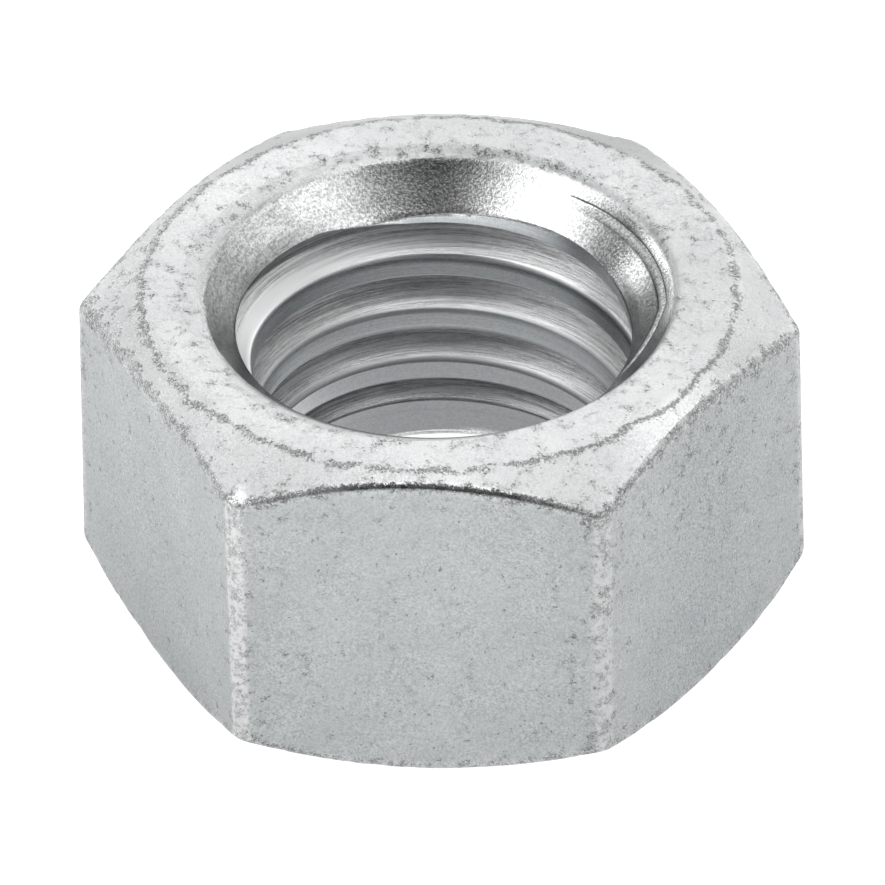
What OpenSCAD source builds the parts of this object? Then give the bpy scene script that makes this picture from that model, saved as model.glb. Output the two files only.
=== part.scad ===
// Hex nut, double chamfered, countersunk at both faces, right-hand coarse thread.
// It rests on its lower face on the plane Z = 0, with the thread axis along +Z.

/* [Body] */
// width across the flats, in mm (3/4 in wrench size)
across_flats = 19.05; // [18.5:0.05:20]
// height between the two faces, in mm (7/16 in)
nut_height = 11.11; // [9:0.01:14]
// radius that rounds the six upright corners, in mm
corner_radius = 0.5; // [0.2:0.05:1.2]

/* [Face chamfer] */
// diameter of the flat ring left on each face, in mm
face_diameter = 17.8; // [17:0.05:18.4]
// slope of the face chamfer down from the face, in degrees
chamfer_angle = 30; // [15:1:40]

/* [Thread] */
// diameter over the thread roots, in mm (a 1/2 in bolt with its clearance)
major_diameter = 12.9; // [12.6:0.05:13]
// diameter over the crests inside the bore, in mm
minor_diameter = 11.2; // [10.8:0.05:11.4]
// rise of the thread in one turn, in mm (13 threads per inch)
pitch = 1.954; // [1.8:0.001:2.2]
// turn of the thread about the axis, in degrees
thread_phase = 290; // [0:5:355]

/* [Countersink] */
// diameter of the countersink where it meets each face, in mm
countersink_diameter = 14.2; // [13.4:0.05:15]
// slope of the countersink measured from the thread axis, in degrees
countersink_angle = 45; // [30:1:60]

/* [Hidden] */
// facets on round faces
$fn = 96;
corners = 6;
half_turn = 180;
full_turn = 360;
steel_colour = [0.74, 0.75, 0.76];
cut_over = 0.2;
face_radius = face_diameter / 2;
tip_radius = across_flats / 2 / cos(half_turn / corners);
bore_radius = minor_diameter / 2;
// distance from the axis to the centre of each corner rounding
corner_centre = (across_flats / 2 - corner_radius) / cos(half_turn / corners);
// groove section: a 60 degree vee with a flat root one eighth of the pitch wide
flank_angle = 30;
root_flat = pitch / 8;
groove_clear = 0.25;
root_radius = major_diameter / 2;
mouth_radius = bore_radius - groove_clear;
mouth_half = root_flat / 2 + (root_radius - mouth_radius) * tan(flank_angle);
steps = 48;
turns = ceil(nut_height / pitch) + 2;
rings = steps * turns;
start_z = -pitch;
section = [
    [mouth_radius, -mouth_half],
    [root_radius, -root_flat / 2],
    [root_radius, root_flat / 2],
    [mouth_radius, mouth_half]
];
section_points = len(section);

// point i of the groove section, carried round the helix to ring k
function groove_point(k, i) =
    let (turn = full_turn * k / steps)
    let (radius = section[i][0])
    [
        radius * cos(turn + thread_phase),
        radius * sin(turn + thread_phase),
        start_z + pitch * k / steps + section[i][1]
    ];

function groove_index(k, i) = k * section_points + i % section_points;

// the groove as one swept solid, cut from the bore wall
module thread_groove() {
    points = [
        for (k = [0 : rings])
            for (i = [0 : section_points - 1])
                groove_point(k, i)
    ];
    sides = [
        for (k = [0 : rings - 1])
            for (i = [0 : section_points - 1])
                for (half = [0 : 1])
                    half == 0
                        ? [groove_index(k, i), groove_index(k, i + 1), groove_index(k + 1, i + 1)]
                        : [groove_index(k, i), groove_index(k + 1, i + 1), groove_index(k + 1, i)]
    ];
    first = [for (i = [section_points - 1 : -1 : 0]) groove_index(0, i)];
    last = [for (i = [0 : section_points - 1]) groove_index(rings, i)];
    polyhedron(points = points, faces = concat([first], sides, [last]), convexity = 10);
}

// hexagonal bar: six flats, with a round post filling each upright corner
module bar() {
    outline = [
        for (corner = [0 : corners - 1])
            for (side = [-1, 1])
                let (angle = corner * full_turn / corners)
                let (normal = angle + side * half_turn / corners)
                [
                    corner_centre * cos(angle) + corner_radius * cos(normal),
                    corner_centre * sin(angle) + corner_radius * sin(normal)
                ]
    ];
    linear_extrude(height = nut_height)
        polygon(outline);
    for (corner = [0 : corners - 1])
        rotate([0, 0, corner * full_turn / corners])
            translate([corner_centre, 0, 0])
                cylinder(h = nut_height, r = corner_radius);
}

// the double cone that chamfers the corners at both faces
module chamfer_envelope() {
    drop = (tip_radius + cut_over - face_radius) * tan(chamfer_angle);
    rotate_extrude() {
        polygon([
            [0, 0],
            [face_radius, 0],
            [tip_radius + cut_over, drop],
            [tip_radius + cut_over, nut_height - drop],
            [face_radius, nut_height],
            [0, nut_height]
        ]);
    }
}

// the bore at its minor diameter with a countersink at each end
module bore() {
    sink_radius = countersink_diameter / 2;
    sink_depth = (sink_radius - bore_radius) / tan(countersink_angle);
    over_radius = sink_radius + cut_over * tan(countersink_angle);
    rotate_extrude() {
        polygon([
            [0, -cut_over],
            [over_radius, -cut_over],
            [bore_radius, sink_depth],
            [bore_radius, nut_height - sink_depth],
            [over_radius, nut_height + cut_over],
            [0, nut_height + cut_over]
        ]);
    }
}

module hex_nut() {
    color(steel_colour)
    difference() {
        intersection() {
            bar();
            chamfer_envelope();
        }
        bore();
        thread_groove();
    }
}

hex_nut();
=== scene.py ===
import math

import bpy
import numpy as np
from mathutils import Matrix, Vector, noise


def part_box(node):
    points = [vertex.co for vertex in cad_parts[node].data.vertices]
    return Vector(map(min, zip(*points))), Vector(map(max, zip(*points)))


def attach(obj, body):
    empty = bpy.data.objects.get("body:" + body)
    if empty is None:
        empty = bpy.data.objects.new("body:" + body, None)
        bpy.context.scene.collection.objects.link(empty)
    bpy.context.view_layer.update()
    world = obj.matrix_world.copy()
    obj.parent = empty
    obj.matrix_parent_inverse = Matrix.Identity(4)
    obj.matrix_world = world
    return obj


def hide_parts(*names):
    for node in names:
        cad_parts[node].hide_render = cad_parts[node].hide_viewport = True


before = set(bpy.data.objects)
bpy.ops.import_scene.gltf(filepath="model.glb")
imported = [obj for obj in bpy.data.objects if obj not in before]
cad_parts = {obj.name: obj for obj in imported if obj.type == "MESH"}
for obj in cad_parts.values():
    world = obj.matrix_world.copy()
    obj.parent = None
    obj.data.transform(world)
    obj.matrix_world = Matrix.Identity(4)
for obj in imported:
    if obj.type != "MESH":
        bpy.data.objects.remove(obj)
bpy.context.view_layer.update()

MM = 0.001

# ---------------------------------------------------------------- sizes, in mm
CAD_LO, CAD_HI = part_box("hex_nut")
HEIGHT = (CAD_HI.z - CAD_LO.z) / MM
FLAT = (CAD_HI.y - CAD_LO.y) / 2 / MM  # axis to a flat
CORNER_R = 0.5  # rounding of the upright corners
FACE_R, RING_DIP = 8.94, 0.02  # the flat ring's outer edge, and how far it is rolled down
CHAMFER = math.radians(30.5)
RIM_R, RIM_DROP = 7.05, 0.24  # where the countersink cone starts
LIP_R, LIP_X, LIP_Y = 7.47, -0.30, -0.06  # a worn lip round it, a little off centre
FOOT_R, FOOT_SLOPE = 7.18, 1.28  # the lower countersink opens wider
FOOT_LIP = 0.25  # how far the lower face's inner edge stands outside its cone
LIP_ROUND, RING_ROUND = 0.22, 1.1  # how the lips and the rings' outer edges are rounded
PITCH = 25.4 / 13
CREST_R, ROOT_R = 5.6, 6.45  # axis to the thread's crests and to its roots
CREST_W = 0.729  # how wide a crest's flat is
RIDGE_AT = math.radians(90)
RIDGE_Z = 5.753  # height of a crest's middle at that angle
FIRST, LAST = 0.75 - 2 * PITCH, 2 * PITCH  # where the groove begins and ends, above that ridge
OPENED = 0.68  # how far the last groove opens upward on the left
FADE = 1.2  # how far outside the crests the end of the last groove begins to close in
SCORE_Z, SCORE_DEEP = 10.60, 0.095  # the line that the tap left on the countersink
# how the thread's edges, its root, its ends and its meeting with the cones are rounded
EDGE_ROUND, ROOT_ROUND, END_ROUND, CONE_ROUND = 0.008, 0.16, 0.05, 0.035


# ---------------------------------------------------------------- small helpers
def smooth(x):
    x = np.clip(x, 0, 1)
    return x * x * (3 - 2 * x)


def soft_max(a, b, k):
    h = np.clip(0.5 + 0.5 * (a - b) / k, 0, 1)
    return b + (a - b) * h + k * h * (1 - h)


def soft_min(a, b, k):
    return -soft_max(-a, -b, k)


def hump(x, at, width):
    return np.exp(-(((x - at) / width) ** 2))


def around(theta, degrees, width):
    """1 at that bearing, fading over width degrees either side."""
    off = (theta - math.radians(degrees) + math.pi) % (2 * math.pi) - math.pi
    return np.exp(-((off / math.radians(width)) ** 2))


def placed(theta, spots):
    """Sum of soft spots, each an amount, a bearing and a width in degrees."""
    return sum(amount * around(theta, at, width) for amount, at, width in spots)


def field(points, scale, seed, octaves):
    """Smooth noise from about -1 to 1 at each point (mm), features about scale mm."""
    shift = Vector((seed * 17.31, seed * 5.77, seed * 11.13))
    return np.array(
        [noise.fractal(Vector(p) / scale + shift, 1.0, 2.0, octaves) for p in points]
    )


# ---------------------------------------------------------------- columns round the axis
SIDE = math.pi / 3


def column_angles():
    tangent = math.atan((FLAT - CORNER_R) * math.tan(SIDE / 2) / FLAT)
    near = math.radians(25.2)
    half = np.concatenate(
        [
            np.linspace(0, near, 24)[:-1],
            np.linspace(near, tangent, 7)[:-1],
            np.linspace(tangent, SIDE / 2, 6),
        ]
    )
    side = np.concatenate([-half[:0:-1], half])[:-1]
    return np.concatenate([side + SIDE / 2 + k * SIDE for k in range(6)]) % (2 * math.pi)


THETA = np.sort(column_angles())
NCOL = len(THETA)


def hex_radius(theta):
    off = (theta % SIDE) - SIDE / 2
    flat = FLAT / np.cos(off)
    psi = SIDE / 2 - np.abs(off)
    centre = (FLAT - CORNER_R) / math.cos(SIDE / 2)
    arc = centre * np.cos(psi) + np.sqrt(
        np.maximum(CORNER_R**2 - (centre * np.sin(psi)) ** 2, 0)
    )
    lateral = FLAT * np.tan(np.abs(off))
    return np.where(lateral > (FLAT - CORNER_R) * math.tan(SIDE / 2), arc, flat)


# ---------------------------------------------------------------- outside
# rows of (radius, height) points, with one point in every column
def fillet(a, v, b, radius, n):
    """n + 1 points of the arc that rounds the turn a-v-b."""
    d1 = (v - a) / np.linalg.norm(v - a, axis=1)[:, None]
    d2 = (b - v) / np.linalg.norm(b - v, axis=1)[:, None]
    turn = np.arctan2(d1[:, 0] * d2[:, 1] - d1[:, 1] * d2[:, 0], (d1 * d2).sum(1))
    normal = np.stack([-d1[:, 1], d1[:, 0]], 1) * np.sign(turn)[:, None]
    turn = np.abs(turn)
    start = v - d1 * (radius * np.tan(turn / 2))[:, None]
    out = []
    for i in range(n + 1):
        phi = turn * i / n
        out.append(
            start
            + d1 * (radius * np.sin(phi))[:, None]
            + normal * (radius * (1 - np.cos(phi)))[:, None]
        )
    return out


def span(a, b, shares):
    return [a + (b - a) * s for s in shares]


def guard(n, edge):
    """n shares of a straight run, the outer two close to its ends."""
    return [edge] + list(np.linspace(0, 1, n)[1:-1]) + [1 - edge]


# how much lower (mm) than a true cone each chamfer meets the sides, round the nut
UPPER_CUT = ((0.34, 209, 15), (0.18, 343, 13), (-0.15, 270, 36), (-0.20, 180, 10))
LOWER_CUT = ((0.36, 0, 8), (0.20, 180, 10))
EDGE_ROLL = ((0.04, 270, 24), (0.14, 205, 24))  # where the edge between them is rounder
DOWN_SIDE = [0.012, 0.04, 0.09, 0.16, 0.25, 0.36, 0.48, 0.6, 0.73, 0.86]


def outside(theta):
    one = np.ones_like(theta)
    hexr = hex_radius(theta)
    lip = LIP_R + LIP_X * np.cos(theta) + LIP_Y * np.sin(theta)
    edge_r = 0.24 + placed(theta, EDGE_ROLL)
    rows, edge = [], []
    for top in (True, False):

        def at(r, z):
            return np.stack([r * one, (HEIGHT - z if top else z) * one], 1)

        drop = (hexr - FACE_R) * math.tan(CHAMFER)
        drop = drop + placed(theta, UPPER_CUT if top else LOWER_CUT)
        rim_r, lip_r = (RIM_R, lip) if top else (FOOT_R, FOOT_R + FOOT_LIP)
        rim, lip_at, ring_at = at(rim_r, RIM_DROP), at(lip_r, 0), at(FACE_R, RING_DIP)
        side_at, middle = at(hexr, drop), at(hexr, HEIGHT / 2)
        lip_arc = fillet(rim, lip_at, ring_at, LIP_ROUND * one, 4)
        ring_arc = fillet(lip_at, ring_at, side_at, RING_ROUND * one, 5)
        side_arc = fillet(ring_at, side_at, middle, edge_r, 7)
        chain = [rim] + span(rim, lip_arc[0], [0.5]) + lip_arc
        chain += span(lip_arc[-1], ring_arc[0], guard(5, 0.06)) + ring_arc
        chain += span(ring_arc[-1], side_arc[0], guard(7, 0.07)) + side_arc
        chain += span(side_arc[-1], middle, DOWN_SIDE)
        along = [np.linalg.norm(p - side_at, axis=1) for p in chain]
        flip = len(chain) - len(DOWN_SIDE) - 4
        along = [d if i < flip else -d for i, d in enumerate(along)]
        if top:
            rows += chain + [middle]
            edge += along + [-(HEIGHT / 2 - drop)]
        else:
            rows += chain[::-1]
            edge += along[::-1]
    return np.stack(rows), np.stack(edge)


# ---------------------------------------------------------------- the bore: thread and countersinks
TABLE_Z = np.array([0.0, 1.9, 3.8, 5.75, 7.8, 9.3, 10.0])
LIFT = np.array([0.10, 0.10, 0.10, 0.0, -0.07, 0.0, 0.0])
FLARE = np.array([0.12, 0.10, -0.10, 0.08, 0.27, 0.26, 0.20])
THREAD_X = 0.20  # the tapped hole runs a little off the hexagon's axis


def eased(z, table):
    fine = np.linspace(0, 11.2, 113)
    y = np.interp(fine, TABLE_Z, table)
    y = np.convolve(np.pad(y, 8, mode="edge"), np.ones(17) / 17, mode="valid")
    return np.interp(z, fine, y)


def climb(z, theta):
    """Height above one ridge's middle, followed along the helix from 300 degrees round."""
    theta = (theta + SIDE) % (2 * math.pi) - SIDE
    return z - eased(z, LIFT) - RIDGE_Z - PITCH * (theta - RIDGE_AT) / (2 * math.pi)


def helix(z, theta):
    """Height above the nearest ridge's middle."""
    return (climb(z, theta) + PITCH / 2) % PITCH - PITCH / 2


def drift(z, theta):
    """How far (mm) the tapped hole's wall stands outside a true bore on the nut's axis."""
    tight = 0.28 * around(theta, 14, 32) * smooth((z - 8.75) / 0.35)  # upper right
    return eased(z, FLARE) + THREAD_X * np.cos(theta) - tight


STEEP = math.tan(math.radians(60))


def thread_radius(z, theta):
    flank = CREST_R + (np.abs(helix(z, theta)) - CREST_W / 2) * STEEP
    r = soft_min(soft_max(flank, CREST_R, EDGE_ROUND), ROOT_R, ROOT_ROUND)
    along = climb(z, theta)
    # the last groove opens upward on the left, where the tap took the ridge above it away
    deg = np.degrees(theta)
    wide = OPENED * smooth((deg - 100) / 58) * (1 - smooth((deg - 225) / 60))
    opened = CREST_R + (2 * PITCH + wide - CREST_W / 2 - along) * STEEP
    opened = soft_min(opened, ROOT_R, ROOT_ROUND)
    r = np.where(along > 1.5 * PITCH, soft_max(r, opened, EDGE_ROUND), r)
    # the lowest groove starts as a taper, and the last one fades out in the countersink
    away = (theta + SIDE) % (2 * math.pi) - SIDE
    taper = PITCH * (1 - smooth((away + SIDE) / SIDE))
    foot = CREST_R + np.maximum(along - FIRST - taper, 0) * STEEP
    fade = FADE * (1 - smooth((away + SIDE) / math.radians(40)))
    head = CREST_R + np.maximum(LAST - along, 0) * STEEP + fade
    return soft_min(soft_min(r, foot, END_ROUND), head, END_ROUND) + drift(z, theta)


def score(theta):
    """Height and depth of the line the tap left round the countersink's right side."""
    deg = np.degrees((theta + math.pi) % (2 * math.pi) - math.pi)
    z = SCORE_Z - 0.001 * deg + 0.026 * np.minimum(deg - 2, 0)
    return z, SCORE_DEEP * smooth((61 - deg) / 16) * smooth((deg + 32) / 14)


def cone_radius(z):
    return np.maximum(
        RIM_R - (HEIGHT - RIM_DROP - z), FOOT_R - FOOT_SLOPE * (z - RIM_DROP - 0.06)
    )


def bore_radius(z, theta):
    at, deep = score(theta)
    under = smooth((z - at + 0.20) / 0.17) * (1 - smooth((z - at) / 0.03))
    return soft_max(thread_radius(z, theta), cone_radius(z), CONE_ROUND) + deep * under


HALF = np.array([0.0, 0.18, 0.346, 0.359, 0.370, 0.383, 0.44, 0.55, 0.66, 0.76, 0.83, 0.90])
STEPS = np.concatenate([-HALF[:0:-1], HALF, [PITCH / 2]])  # heights of the rows on one ridge
SCORE_ROWS = np.array([-0.23, -0.20, -0.17, -0.10, -0.04, 0.0, 0.015, 0.03, 0.05, 0.08])
GUARD = 0.022  # rows this close to each side keep the edge of thread and countersink crisp
Z_LO, Z_HI = RIM_DROP, HEIGHT - RIM_DROP


def bore_column(theta):
    """Heights of this column's points, and their order along the helix."""
    turn = PITCH * theta / (2 * math.pi)
    first = RIDGE_Z - PITCH * RIDGE_AT / (2 * math.pi)
    z = np.concatenate([first + turn + k * PITCH + STEPS for k in range(-8, 9)])
    z = z[(z > Z_LO + 0.03) & (z < Z_HI - 0.03)]
    fine = np.linspace(Z_LO, Z_HI, 900)
    gap = thread_radius(fine, theta) - cone_radius(fine)
    cross = np.nonzero(np.sign(gap[1:]) != np.sign(gap[:-1]))[0]
    step = fine[1] - fine[0]
    extra = np.array([fine[c] + step * gap[c] / (gap[c] - gap[c + 1]) for c in cross])
    extra = np.concatenate([extra - GUARD, extra, extra + GUARD])
    extra = extra[(extra > Z_LO + 0.05) & (extra < Z_HI - 0.05)]
    if len(extra):
        z = z[np.abs(z[:, None] - extra[None]).min(1) > 0.008]
    at, deep = score(theta)
    if deep > 0.001:
        marks = at + SCORE_ROWS
        z = z[np.abs(z[:, None] - marks[None]).min(1) > 0.02]
        extra = np.concatenate([extra, marks])
    z = np.sort(np.concatenate([[Z_LO], z, extra, [Z_HI]]))
    return z, z - turn


# ---------------------------------------------------------------- one closed skin
FAR = 9.0  # stands for a point far from the edge between chamfer and side


def build():
    rows, edge = outside(THETA)  # row, column, (radius, height)
    nrow = len(rows)
    cs, sn = np.cos(THETA), np.sin(THETA)
    skin = np.stack([rows[:, :, 0] * cs, rows[:, :, 0] * sn, rows[:, :, 1]], 2)
    verts = [skin.reshape(-1, 3)]
    angle = [np.tile(THETA, nrow)]
    faces = []
    for j in range(nrow - 1):
        for i in range(NCOL):
            k = (i + 1) % NCOL
            faces.append(
                (j * NCOL + i, (j + 1) * NCOL + i, (j + 1) * NCOL + k, j * NCOL + k)
            )
    count = nrow * NCOL
    columns = []
    for i, th in enumerate(THETA):
        z, rank = bore_column(th)
        r = bore_radius(z, th)
        ids = np.empty(len(z), int)
        ids[-1] = i  # the top rim is the outside's first row
        ids[0] = (nrow - 1) * NCOL + i
        inner = np.stack([r * math.cos(th), r * math.sin(th), z], 1)[1:-1]
        ids[1:-1] = count + np.arange(len(inner))
        count += len(inner)
        verts.append(inner)
        angle.append(np.full(len(inner), th))
        columns.append((ids, rank))
    for i in range(NCOL):
        ia, ra = columns[i]
        ib, rb = columns[(i + 1) % NCOL]
        if i == NCOL - 1:
            rb = rb - PITCH
        a, b = 0, 0
        while a < len(ia) - 1 or b < len(ib) - 1:
            na = ra[a + 1] if a < len(ia) - 1 else 1e9
            nb = rb[b + 1] if b < len(ib) - 1 else 1e9
            if abs(na - nb) < 1e-6 or (a == len(ia) - 2 and b == len(ib) - 2):
                faces.append((ia[a], ia[a + 1], ib[b + 1], ib[b]))
                a, b = a + 1, b + 1
            elif na < nb:
                faces.append((ia[a], ia[a + 1], ib[b]))
                a += 1
            else:
                faces.append((ia[a], ib[b + 1], ib[b]))
                b += 1
    edge_all = np.full(count, FAR)
    edge_all[: nrow * NCOL] = edge.reshape(-1)
    return np.concatenate(verts), faces, np.concatenate(angle), edge_all


co, faces, theta, edge_d = build()
tall = co[:, 2].copy()  # heights, before the wear below moves any point
radius = np.hypot(co[:, 0], co[:, 1])
on_top = tall > HEIGHT / 2
level = np.clip(tall / HEIGHT, 0, 1)


def over(start, rise):
    """0 up to the height start (mm), and 1 from rise above it."""
    return smooth((tall - start) / rise)


# ---------------------------------------------------------------- the parts of the surface, 0 to 1
inside = smooth((np.where(on_top, RIM_R, FOOT_R) + 0.07 - radius) / 0.12)
outside_part = 1 - inside
side_part = smooth((0.1 - edge_d) / 0.2)
off = (theta % SIDE) - SIDE / 2
corner_d = FLAT * (math.tan(SIDE / 2) - np.tan(np.abs(off)))
plate = (edge_d > 0.15) & (inside < 0.5)
slope_part = smooth((radius - FACE_R + 0.3) / 0.5) * plate
helix_at = helix(tall, theta)
score_z, score_deep = score(theta)
above = tall - score_z
on_thread = smooth((radius - cone_radius(tall) - 0.01) / 0.05) * inside
on_thread *= (score_deep < 0.001) | (np.abs(above + 0.1) > 0.2)
cone_part = inside * (1 - on_thread)
crest = 1 - smooth((radius - CREST_R - drift(tall, theta) - 0.02) / 0.10)
crest = crest * on_thread
flank = on_thread * (1 - crest)
upper_flank = flank * smooth((0.86 - helix_at) / 0.22) * (helix_at > 0)
outer_flank = flank * (1 - smooth((0.80 - np.abs(helix_at)) / 0.2))
# a plain strip on the upper flank at the left: painted light in the material, with fewer tool marks and
# a little rougher
plain_lit_strip = upper_flank * smooth((0.70 - helix_at) / 0.12)
plain_lit_strip = plain_lit_strip * around(theta, 165, 44) * over(7.0, 0.8)
lip_edge = on_thread * hump(np.abs(helix_at), 0.365, 0.022)
rounded = hump(radius, RIM_R + 0.09, 0.13) * on_top
front = np.minimum(1, 1.7 * around(theta, 273, 19)) * on_top * outside_part

# ---------------------------------------------------------------- painted light and shade: how much lighter or darker each part of the plating is painted, in place of highlights and shade from the lamps
# painted light and shade by bearing, on the sides, the chamfers, the flat rings and the countersinks:
# each an amount, a bearing and a width in degrees
SIDE_TONES = ((-0.11, 330, 28), (-0.05, 210, 28), (0.06, 270, 30))
CHAMFER_TONES = (
    (0.27, 180, 32),
    (0.12, 0, 32),
    (0.32, 222, 18),
    (0.48, 321, 15),
    (0.15, 270, 22),
    (-0.36, 62, 18),
    (-0.22, 122, 20),
)
RING_TONES = ((0.04, 270, 30), (-0.12, 90, 20), (0.10, 132, 22), (-0.02, 50, 20), (-0.14, 5, 25))
CONE_TONES = ((-0.50, 179, 24), (-0.20, 112, 15), (-0.14, 10, 25), (0.20, 88, 18), (0.15, 56, 16))
# painted light and shade of the crests and of the flanks' outer parts, at heights in mm
CREST_Z = (2.5, 4.9, 5.7, 6.8, 7.9, 8.8)
CREST_TONES = (-0.32, -0.25, -0.08, -0.08, -0.25, 0.90)
OUTER_Z = (3.2, 6.0, 8.0, 9.2)
OUTER_TONES = (-0.24, -0.07, 0.0, -0.14)

# painted shade: the sides painted darker towards the bottom and lighter towards the top, more strongly
# on one side
tilt = level - 0.45
tone_and_painted_light = 1 + outside_part * ~plate * (
    0.09 * tilt + 0.26 * tilt * around(theta, 210, 28) + placed(theta, SIDE_TONES)
)
tone_and_painted_light += slope_part * placed(theta, CHAMFER_TONES)
tone_and_painted_light += (1 - slope_part) * plate * placed(theta, RING_TONES)
# a bright knocked corner at the front left
knock_at = [10.75 * math.cos(4 * SIDE) + 0.10, 10.75 * math.sin(4 * SIDE), 10.22]
tone_and_painted_light += 1.3 * np.exp(-((co - knock_at) ** 2).sum(1) / 0.22**2)
# painted light and shade on the countersinks: patches by bearing and height, shade painted at the back
# of the lower one, and the highlight beside the tap's line held in by painted shade
tone_and_painted_light += cone_part * (
    placed(theta, CONE_TONES)
    - 0.42 * around(theta, 148, 24) * (1 - over(9.87, 0.45))
    - 0.30 * around(theta, 6, 20) * smooth((-0.02 - above) / 0.10)
    - 0.50 * around(theta, 20, 15) * (1 - over(9.72, 0.30))
    - 0.30 * around(theta, 88, 24) * over(10.30, 0.4)
    + 0.14 * around(theta, 88, 24) * (1 - over(10.1, 0.4))
    + 0.45 * around(theta, 92, 38) * (1 - over(9.70, 0.25))
    - 0.65 * around(theta, 90, 60) * hump(tall, 1.4, 0.28)
    - 0.18 * around(theta, 22, 11) * smooth((above - 0.02) / 0.05)
)
# painted light and shade on the crests and flanks, by height and bearing
tone_and_painted_light += crest * (
    np.interp(tall, CREST_Z, CREST_TONES)
    + around(theta, 175, 30)
    - 0.85 * around(theta, 38, 34) * over(8.0, 0.5)
)
tone_and_painted_light -= flank * 0.25 * around(theta, 38, 34) * over(8.6, 0.4)
tone_and_painted_light += outer_flank * np.interp(tall, OUTER_Z, OUTER_TONES)
tone_and_painted_light += upper_flank * (
    0.10
    + 0.25 * over(6.6, 1.5)
    - 0.45 * around(theta, 194, 22) * over(6.6, 0.8)
    + 0.30 * around(theta, 22, 13) * over(7.0, 0.8)
)
tone_and_painted_light -= 0.15 * plain_lit_strip
# the tap's line: painted shade in its two corners, with a painted light band between them
broad = 0.036 + 0.024 * around(theta, 28, 17)
tone_and_painted_light += (cone_part * score_deep / SCORE_DEEP) * (
    (0.32 + 0.50 * around(theta, 2, 14)) * hump(above, -0.09, 0.05)
    - 0.92 * hump(above, 0.018, broad)
    - 0.62 * hump(above, -0.20, 0.026)
)
# the rim of the countersink: a painted highlight on the right, and a painted shade line at the front
tone_and_painted_light += rounded * 0.55 * around(theta, 46, 20)
tone_and_painted_light += 0.95 * hump(radius, RIM_R - 0.02, 0.11) * on_top * around(theta, 4, 20)
tone_and_painted_light *= 1 - 0.88 * hump(radius, RIM_R + 0.04, 0.12) * around(theta, 268, 46) * on_top

# ---------------------------------------------------------------- wear, the shape it leaves, and painted highlights on the upright corners
# painted highlights along the rounded upright corners, stronger at some corners than others
POST_HIGHLIGHTS = {0: 0.6, 60: 0.7, 120: 0.7, 180: 0.6, 240: 1.0, 300: 0.55}  # bright upright corners
LEANS = ((0.22, 180, 15), (0.24, 0, 15))  # mm, at the two corners that lean
post = sum(amount * (around(theta, at, 20) > 0.1) for at, amount in POST_HIGHLIGHTS.items())
post = post * smooth((0.47 - corner_d) / 0.20) * side_part
coarse = (around(theta, 330, 26) + 0.8 * around(theta, 210, 26)) * side_part
wear = 0.52 * hump(corner_d, 0, 0.5) + 0.35 * hump(corner_d, 0, 1.5)
wear += 0.45 * level**2 * around(theta, 210, 26)
wear += (0.65 * level**2 + 0.15 * level) * around(theta, 332, 26)
wear = wear * side_part * outside_part
wear += 0.45 * slope_part * around(theta, 183, 24) * on_top

outward = np.stack([np.cos(theta), np.sin(theta), 0 * theta], 1)
upward = np.where(on_top, 1.0, -1.0)
near_edge = hump(edge_d, 0, 0.45) * outside_part
near_corner = hump(corner_d, 0, 0.7) * (edge_d < 0.3) * outside_part
near_ring = hump(radius, FACE_R, 0.35) * (edge_d > 0) * outside_part
nick = field(co, 0.55, 3, 3)
chip = field(co, 1.5, 4, 2)
cut = 0.026 * smooth(nick * 1.6) + 0.010 * smooth(chip * 1.6)
push = -(0.6 * near_edge + 0.2 * near_corner) * cut
lean = (0.5 - tall / HEIGHT) * outside_part * smooth((radius - 8.4) / 2)
push += lean * placed(theta, LEANS)
co += outward * push[:, None]
co[:, 2] -= 0.8 * upward * near_edge * cut
co[:, 2] -= 0.016 * upward * near_ring * smooth(field(co, 0.7, 7, 3) * 1.6 + 0.3)

mesh = bpy.data.meshes.new("nut_zinc")
mesh.from_pydata((co * MM).tolist(), [], [tuple(int(v) for v in f) for f in faces])
mesh.validate()
mesh.update()
mesh.shade_smooth()
nut = bpy.data.objects.new("nut_zinc", mesh)
bpy.context.scene.collection.objects.link(nut)
turn_h = 2 * math.pi * helix_at / PITCH
for name, values in (
    ("inside", inside),
    ("edge", edge_d),
    ("post", post),
    ("crest", crest),
    ("thread", on_thread),
    ("tone_and_painted_light", tone_and_painted_light),
    ("front", front),
    ("wear", wear),
    ("coarse", coarse),
    ("dull", rounded * around(theta, 40, 24)),
    ("plain_lit_strip", np.minimum(1, 1.2 * plain_lit_strip)),
    ("crest_edge", lip_edge),
):
    a = mesh.attributes.new(name, "FLOAT", "POINT")
    a.data.foreach_set("value", values.astype(np.float32))
a = mesh.attributes.new("helix", "FLOAT_VECTOR", "POINT")
a.data.foreach_set(
    "vector",
    np.stack([np.cos(turn_h), np.sin(turn_h), co[:, 2] / 10], 1).astype(np.float32).ravel(),
)


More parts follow.
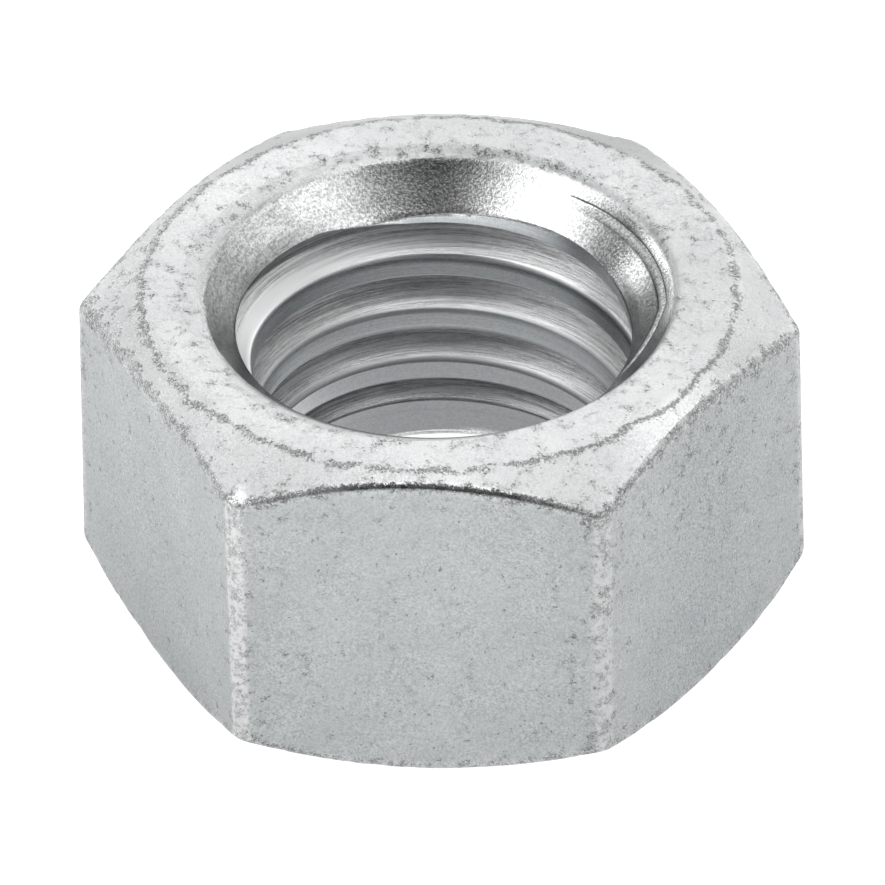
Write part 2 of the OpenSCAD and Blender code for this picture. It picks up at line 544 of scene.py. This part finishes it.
# ---------------------------------------------------------------- material
class Nodes:
    """Short spellings for the node tree."""

    def __init__(self, material):
        self.tree = material.node_tree

    def put(self, socket, value):
        if isinstance(value, bpy.types.NodeSocket):
            self.tree.links.new(value, socket)
        elif value is not None:
            socket.default_value = value

    def node(self, kind, **props):
        n = self.tree.nodes.new(kind)
        for k, v in props.items():
            setattr(n, k, v)
        return n

    def attr(self, name, out="Fac"):
        return self.node("ShaderNodeAttribute", attribute_name=name).outputs[out]

    def math(self, op, a, b=None, c=None):
        n = self.node("ShaderNodeMath", operation=op)
        for s, v in zip(n.inputs, (a, b, c)):
            self.put(s, v)
        return n.outputs[0]

    def times(self, product, *factors):
        for factor in factors:
            product = self.math("MULTIPLY", product, factor)
        return product

    def total(self, start, *parts):
        """start plus each part times its amount."""
        for part, amount in parts:
            start = self.math("MULTIPLY_ADD", part, amount, start)
        return start

    def vec(self, op, a, b=None, c=None, scale=None):
        n = self.node("ShaderNodeVectorMath", operation=op)
        for s, v in zip(n.inputs, (a, b, c)):
            self.put(s, v)
        if scale is not None:
            self.put(n.inputs["Scale"], scale)
        return n.outputs["Value"] if op in ("LENGTH", "DOT_PRODUCT") else n.outputs[0]

    def fit(self, x, lo, hi, to_lo=0.0, to_hi=1.0):
        n = self.node("ShaderNodeMapRange", interpolation_type="SMOOTHSTEP")
        for name, v in (
            ("Value", x),
            ("From Min", lo),
            ("From Max", hi),
            ("To Min", to_lo),
            ("To Max", to_hi),
        ):
            self.put(n.inputs[name], v)
        return n.outputs[0]

    def noise(self, vector, scale, detail, rough, distort):
        n = self.node("ShaderNodeTexNoise", noise_dimensions="3D")
        self.put(n.inputs["Vector"], vector)
        self.put(n.inputs["Scale"], scale)
        self.put(n.inputs["Detail"], detail)
        self.put(n.inputs["Roughness"], rough)
        self.put(n.inputs["Distortion"], distort)
        return n.outputs["Fac"]

    def crease(self, *noise):
        """How far a noise is from its middle: near 0 along thin winding lines."""
        return self.math("ABSOLUTE", self.math("SUBTRACT", self.noise(*noise), 0.5))

    def away(self, x, at, wobble, amount):
        """How far x is from the value at, on a line that wobbles."""
        off = self.math("ADD", self.math("SUBTRACT", x, at), self.math("MULTIPLY", wobble, amount))
        return self.math("ABSOLUTE", off)

    def blend(self, fac, a, b):
        n = self.node("ShaderNodeMix", data_type="FLOAT")
        self.put(n.inputs["Factor"], fac)
        self.put(n.inputs[2], a)
        self.put(n.inputs[3], b)
        return n.outputs[0]

    def mix(self, fac, a, b):
        n = self.node("ShaderNodeMix", data_type="RGBA", blend_type="MIX")
        self.put(n.inputs["Factor"], fac)
        self.put(n.inputs[6], a)
        self.put(n.inputs[7], b)
        return n.outputs[2]


# base colours, darker first where there are two
SIDE_COLOURS = (0.402, 0.420, 0.426, 1), (0.430, 0.448, 0.451, 1)
TOP_COLOURS = (0.462, 0.473, 0.475, 1), (0.500, 0.509, 0.509, 1)
CONE_COLOURS = (0.31, 0.317, 0.32, 1), (0.71, 0.715, 0.715, 1)
# flank colours: the upward flanks' lit, the downward flanks' darker as painted shade
LIT_UP_COLOURS = (0.45, 0.458, 0.462, 1), (0.75, 0.755, 0.755, 1)
SHADED_DOWN_COLOURS = (0.31, 0.32, 0.325, 1), (0.66, 0.67, 0.675, 1)
CREST_COLOURS = (0.345, 0.360, 0.367, 1), (0.430, 0.446, 0.453, 1)
# painted highlight colour of the upright corners
POST_HIGHLIGHT_COLOUR = (0.64, 0.647, 0.642, 1)
# painted highlight colour of the plain strip on the thread's flank
LIT_STRIP_COLOUR = (0.66, 0.665, 0.665, 1)
HAIR_COLOUR = (0.15, 0.14, 0.13, 1)
FLECK_COLOUR = (0.105, 0.096, 0.088, 1)
PIT_COLOUR = (0.13, 0.125, 0.12, 1)
# painted shade colour of the line under the front chamfer
EDGE_SHADE_COLOUR = (0.05, 0.05, 0.052, 1)
WORN_WAY = (math.cos(math.radians(-40)), math.sin(math.radians(-40)), 0)  # the most worn side


def zinc():
    m = bpy.data.materials.new("zinc")
    m.use_nodes = True
    g = Nodes(m)
    bsdf = m.node_tree.nodes["Principled BSDF"]
    bsdf.inputs["Metallic"].default_value = 1.0
    where = g.node("ShaderNodeTexCoord").outputs["Object"]
    p = g.vec("SCALE", where, scale=1000.0)  # millimetres
    sep = g.node("ShaderNodeSeparateXYZ")
    g.put(sep.inputs[0], p)
    inside, edge, post = g.attr("inside"), g.attr("edge"), g.attr("post")
    crest, thread = g.attr("crest"), g.attr("thread")
    outer = g.math("SUBTRACT", 1.0, inside)
    flat = g.vec("MULTIPLY", p, (1, 1, 0))
    r = g.vec("LENGTH", flat)
    lip_r = g.vec("LENGTH", g.vec("SUBTRACT", flat, (LIP_X, LIP_Y, 0)))
    upper = g.fit(edge, -0.05, 0.12)  # chamfers and end faces

    # worn patches: crumbly specks and short squiggles let through along the edges and rings
    line = g.fit(g.crease(p, 4.6, 4.0, 0.72, 0.5), 0.040, 0.006)
    speck = g.fit(g.noise(p, 12.5, 2.0, 0.7, 0.2), 0.55, 0.59)
    patch = g.noise(p, 1.9, 5.0, 0.72, 0.0)
    wobble = g.noise(p, 0.9, 2.0, 0.5, 0.0)
    ring_d = g.away(r, FACE_R + 0.22, wobble, 0.45)
    ring = g.math("MULTIPLY", g.fit(ring_d, 0.26, 0.01), upper)
    lip_d = g.away(lip_r, LIP_R + 0.10, wobble, 0.40)
    lip = g.math("MULTIPLY", g.fit(lip_d, 0.55, 0.05), outer)
    rim = g.fit(g.math("ABSOLUTE", edge), 0.50, 0.05)
    wear = g.attr("wear")
    need = g.total(0.66, (ring, -0.18), (lip, -0.075), (rim, -0.15), (wear, -0.15), (upper, -0.035))
    excess = g.math("SUBTRACT", patch, need)
    crumbly = g.times(g.fit(excess, -0.08, 0.03), outer)
    fleck = g.math("MAXIMUM", g.math("MULTIPLY", line, 0.8), speck)
    fleck = g.times(fleck, g.fit(excess, -0.02, 0.03), outer, g.total(1.0, (post, -0.45)))
    hair = g.fit(g.crease(p, 5.5, 3.0, 0.6, 0.9), 0.035, 0.005)
    hair = g.times(hair, g.fit(g.noise(p, 2.3, 4.0, 0.75, 0.0), 0.50, 0.62))
    hair = g.times(hair, outer, g.fit(upper, 0.0, 1.0, 0.35, 0.45))
    # solid worn-through core of the ring where the specks run together
    unit = g.vec("NORMALIZE", flat)
    worn_side = g.fit(g.vec("DOT_PRODUCT", unit, WORN_WAY), 0.86, 0.98)
    crumb = g.noise(p, 9.0, 3.0, 0.80, 0.2)
    core = g.fit(g.total(ring_d, (crumb, 0.55)), 0.36, 0.26)
    core = g.times(core, g.fit(g.total(patch, (worn_side, 0.16)), 0.42, 0.54))
    core = g.times(core, upper, outer, g.total(0.62, (worn_side, 0.28)))
    fleck = g.math("MAXIMUM", fleck, core)
    # painted shade: the dark line under the front chamfer, ragged on its upper side
    front_edge_shade = g.fit(g.total(edge, (crumb, -0.60)), -0.10, -0.17)
    front_edge_shade = g.times(front_edge_shade, g.fit(edge, -0.11, -0.04), g.attr("front"))

    # pits: small scattered dark dots
    coarse = g.attr("coarse")
    pit = g.total(g.noise(p, 7.0, 1.0, 0.5, 0.0), (coarse, 0.045))
    pit = g.times(g.fit(pit, 0.725, 0.78), outer)

    # grain and broad clouds
    grain = g.noise(p, 14.0, 3.0, 0.80, 0.0)
    cloud = g.noise(p, 0.50, 3.0, 0.55, 0.4)
    grit = g.fit(g.noise(p, 0.75, 3.0, 0.6, 0.0), 0.42, 0.62)

    # tool marks in the bore: along the helix on the thread, down the slope on the countersink
    hel = g.attr("helix", "Vector")
    streak_at = g.vec("MULTIPLY_ADD", hel, (7.5, 7.5, 4.5), g.vec("SCALE", flat, scale=0.42))
    streak = g.noise(streak_at, 1.0, 6.0, 0.82, 0.5)
    slope = g.node("ShaderNodeCombineXYZ")
    g.put(slope.inputs[2], g.math("MULTIPLY", r, 13.0))
    swirl_at = g.vec("MULTIPLY_ADD", unit, (14, 14, 0), slope.outputs[0])
    swirl = g.noise(swirl_at, 1.0, 5.0, 0.8, 0.3)
    peel = g.noise(p, 12.0, 3.0, 0.75, 0.1)
    turned = g.math("MULTIPLY", g.fit(sep.outputs[0], -1.0, -5.5), 0.50)
    cone_marks = g.math("SUBTRACT", g.blend(turned, peel, swirl), 0.5)
    cone_marks = g.math("MULTIPLY_ADD", cone_marks, g.math("ADD", turned, 1.0), 0.5)
    marks = g.blend(thread, cone_marks, streak)

    # colour
    side = g.mix(g.fit(cloud, 0.3, 0.7), *SIDE_COLOURS)
    top = g.mix(g.fit(cloud, 0.35, 0.65), *TOP_COLOURS)
    shade = g.fit(grain, 0.28, 0.72, -1.0, 1.0)
    depth = g.total(0.19, (grit, 0.10), (upper, -0.08), (coarse, 0.16), (crumbly, 0.16))
    skin = g.vec("SCALE", g.mix(upper, side, top), scale=g.total(1.0, (shade, depth)))
    # painted highlights along the upright corners, broken up by noise
    bright = g.times(post, g.fit(g.noise(p, 4.6, 4.0, 0.78, 0.3), 0.40, 0.53))
    skin = g.mix(bright, skin, POST_HIGHLIGHT_COLOUR)
    cone = g.mix(g.fit(marks, 0.35, 0.63), *CONE_COLOURS)
    # flanks painted lighter where they face up and darker where they face down, as lit and shaded
    up = g.mix(g.fit(marks, 0.38, 0.60), *LIT_UP_COLOURS)
    down = g.mix(g.fit(marks, 0.40, 0.62), *SHADED_DOWN_COLOURS)
    helix_way = g.node("ShaderNodeSeparateXYZ")
    g.put(helix_way.inputs[0], hel)
    # the plain strip takes a painted light colour
    plain_lit_strip = g.attr("plain_lit_strip")
    flank = g.mix(g.fit(helix_way.outputs[1], 0.0, 0.55), down, up)
    flank = g.mix(plain_lit_strip, flank, LIT_STRIP_COLOUR)
    land = g.mix(g.fit(peel, 0.30, 0.70), *CREST_COLOURS)
    bore = g.mix(thread, cone, g.mix(crest, flank, land))
    # the tone attribute scales the colour, which paints in light and shade
    skin = g.vec("SCALE", g.mix(inside, skin, bore), scale=g.attr("tone_and_painted_light"))
    for mark, strength, colour in (
        (hair, 0.42, HAIR_COLOUR),
        (fleck, 0.68, FLECK_COLOUR),
        (pit, 0.60, PIT_COLOUR),
        (front_edge_shade, 0.92, EDGE_SHADE_COLOUR),
    ):
        skin = g.mix(g.math("MULTIPLY", mark, strength), skin, colour)
    g.put(bsdf.inputs["Base Color"], skin)

    # gloss
    rough_out = g.fit(grain, 0.25, 0.75, 0.44, 0.56)
    rough_cone = g.fit(marks, 0.25, 0.75, 0.11, 0.18)
    rough_thread = g.fit(marks, 0.25, 0.75, 0.21, 0.33)
    rough = g.blend(inside, rough_out, g.blend(thread, rough_cone, rough_thread))
    rolled = g.fit(g.math("ABSOLUTE", edge), 0.35, 0.1)
    rough = g.total(rough, (rolled, -0.26), (fleck, 0.2), (plain_lit_strip, 0.14))
    rough = g.total(rough, (g.attr("crest_edge"), 0.45), (g.attr("dull"), 0.35))
    g.put(bsdf.inputs["Roughness"], rough)

    # fine relief
    worn = g.math("MULTIPLY", grain, 0.010)
    worn = g.total(worn, (hair, -0.012), (g.times(patch, crumbly), 0.022))
    tool = g.times(g.total(0.009, (thread, 0.009)), marks, inside)
    tool = g.times(tool, g.total(1.0, (crest, -0.8)), g.total(1.0, (plain_lit_strip, -0.8)))
    relief = g.total(tool, (worn, outer), (fleck, -0.020), (pit, -0.020))
    bump = g.node("ShaderNodeBump")
    bump.inputs["Strength"].default_value = 1.0
    bump.inputs["Distance"].default_value = MM
    g.put(bump.inputs["Height"], relief)
    g.put(bsdf.inputs["Normal"], bump.outputs[0])
    return m


mesh.materials.append(zinc())
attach(nut, "root")
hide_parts("hex_nut")

# ---------------------------------------------------------------- floor, light, camera
scene = bpy.context.scene


def plane(name, wide, high, base, glow):
    me = bpy.data.meshes.new(name)
    w, h = wide / 2, high / 2
    me.from_pydata([(-w, -h, 0), (w, -h, 0), (w, h, 0), (-w, h, 0)], [], [(0, 1, 2, 3)])
    m = bpy.data.materials.new(name)
    m.use_nodes = True
    s = m.node_tree.nodes["Principled BSDF"].inputs
    s["Base Color"].default_value = (base, base, base, 1)
    s["Roughness"].default_value = 1.0
    s["Specular IOR Level"].default_value = 0.0
    s["Emission Color"].default_value = (1, 1, 1, 1)
    s["Emission Strength"].default_value = glow
    me.materials.append(m)
    o = bpy.data.objects.new(name, me)
    scene.collection.objects.link(o)
    return o


LIGHT_AWAY = 0.6
CENTRE = Vector((0, 0, HEIGHT * MM / 2))
VIEW_AZ = math.radians(-4.5)  # the nut's turn as the camera sees it


def bearing(az, el):
    """az is degrees to the right of the camera's side, el above the floor."""
    a, e = math.radians(az) - VIEW_AZ, math.radians(el)
    return Vector((math.sin(a) * math.cos(e), -math.cos(a) * math.cos(e), math.sin(e)))


def facing(o, az, el, dist):
    d = bearing(az, el)
    o.location = CENTRE + d * dist
    o.rotation_mode = "QUATERNION"
    o.rotation_quaternion = (-d).to_track_quat("-Z", "Y")


def softbox(name, az, el, dist, wide, high, radiance):
    light = bpy.data.lights.new(name, "AREA")
    light.shape = "RECTANGLE"
    light.size, light.size_y = wide, high
    light.energy = radiance * math.pi * wide * high
    o = bpy.data.objects.new(name, light)
    scene.collection.objects.link(o)
    facing(o, az, el, dist)


floor = plane("floor", 4.0, 4.0, 0.30, 0.95)
floor.location.z = -0.00002
card = plane("dark_card", 0.56, 0.62, 0.03, 0.06)
facing(card, 6.5, 44, LIGHT_AWAY)
flag = plane("dark_flag", 0.13, 0.13, 0.03, 0.0)
facing(flag, -108, 21, 0.5)
for name, az, el, wide, high, radiance in (
    ("box_left", -68, 42, 0.32, 0.30, 2.00),
    ("box_right", 66, 42, 0.30, 0.30, 1.15),
    ("box_right_back", 140, 25, 0.30, 0.40, 0.40),
    ("box_back", 180, 37, 0.50, 0.30, 1.60),
    ("box_back_low", 180, 15, 0.50, 0.25, 1.00),
    ("box_right_side", 104, 30, 0.36, 0.28, 0.60),
    ("box_low_left", -124, 16, 0.10, 0.08, 6.20),
    ("box_low_right", 145, 18, 0.28, 0.22, 0.70),
    ("box_back_high", 180, 70, 0.40, 0.25, 0.90),
    ("box_high_left", -45, 65, 0.25, 0.25, 0.60),
    ("box_high_right", 45, 65, 0.25, 0.25, 0.95),
    ("box_top", 0, 88, 0.48, 0.24, 1.90),
):
    softbox(name, az, el, LIGHT_AWAY, wide, high, radiance)

world = bpy.data.worlds.new("studio")
scene.world = world
world.use_nodes = True
world.node_tree.nodes["Background"].inputs[0].default_value = (1, 1, 1, 1)
world.node_tree.nodes["Background"].inputs[1].default_value = 0.75

ACROSS = 2 * FLAT * MM  # the nut's width across flats
VIEW_EL, ROLL = math.radians(37.33), math.radians(1.14)
DISTANCE, ASIDE, ALOFT = 15.67 * ACROSS, 0.002 * ACROSS, -0.010 * ACROSS
right = Vector((1, 0, 0))
back = Vector((0, -math.cos(VIEW_EL), math.sin(VIEW_EL)))
up = Vector((0, math.sin(VIEW_EL), math.cos(VIEW_EL)))
cam_right = right * math.cos(ROLL) - up * math.sin(ROLL)
cam_up = right * math.sin(ROLL) + up * math.cos(ROLL)
turn = Matrix.Rotation(-VIEW_AZ, 3, "Z")
cam_data = bpy.data.cameras.new("camera")
cam_data.sensor_width = 36
cam_data.lens = 401.37
cam_data.clip_start, cam_data.clip_end = 0.01, 10
cam = bpy.data.objects.new("camera", cam_data)
scene.collection.objects.link(cam)
axes = Matrix((turn @ cam_right, turn @ cam_up, turn @ back)).transposed().to_4x4()
place = CENTRE + turn @ (right * ASIDE + up * ALOFT + back * DISTANCE)
cam.matrix_world = Matrix.Translation(place) @ axes
scene.camera = cam
scene.view_settings.view_transform = "Standard"
